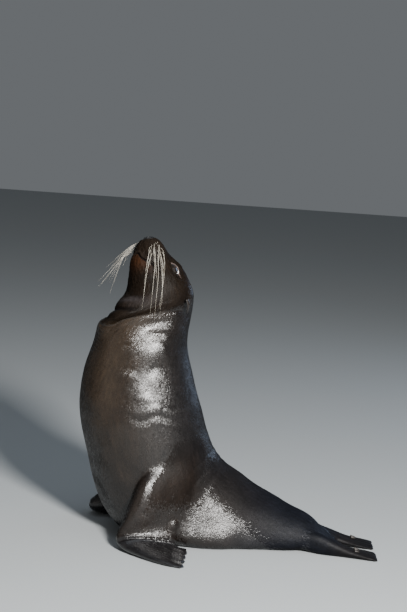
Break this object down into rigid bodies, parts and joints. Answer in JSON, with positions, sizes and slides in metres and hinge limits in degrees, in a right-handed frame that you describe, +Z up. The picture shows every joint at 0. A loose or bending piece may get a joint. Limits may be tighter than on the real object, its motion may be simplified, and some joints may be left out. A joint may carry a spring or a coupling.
{
  "type": "sea lion model",
  "caption": "Life-size still model of a sea lion sitting upright on its foreflippers with the muzzle raised and turned aside.",
  "frame": {"origin": "on the floor, in the flat patch under the belly where the animal rests, in the middle of the trunk's width", "axes": "+Z up, -Z out of the flat belly patch; -X the way the chest faces and +X towards the tail, along the animal's longest extent; -Y the animal's left side"},
  "size_m": [0.856, 0.6319, 0.8376],
  "materials": {
    "wet_fur": "short wet fur, dark brown, glossy",
    "chest_fur": "short wet fur, warmer brown, glossy",
    "flipper_skin": "bare black-brown skin, wet",
    "nose_skin": "bare black skin, moist",
    "eye": "very dark brown, polished",
    "nail": "dark horn"
  },
  "bodies": {
    "root": {"head": "wet_fur", "snout": "wet_fur", "lower_jaw": "wet_fur", "nose": "nose_skin", "eye_left": "eye", "eye_right": "eye", "ear_left": "flipper_skin", "ear_right": "flipper_skin", "neck": "wet_fur", "chest": "chest_fur", "abdomen": "wet_fur", "hindquarters": "wet_fur", "tail": "wet_fur", "forearm_left": "wet_fur", "forearm_right": "wet_fur", "foreflipper_left": "flipper_skin", "foreflipper_right": "flipper_skin", "hindflipper_left": "flipper_skin", "hindflipper_right": "flipper_skin", "toe_nail_left_2": "nail", "toe_nail_left_3": "nail", "toe_nail_left_4": "nail", "toe_nail_right_2": "nail", "toe_nail_right_3": "nail", "toe_nail_right_4": "nail"}
  },
  "joints": []
}
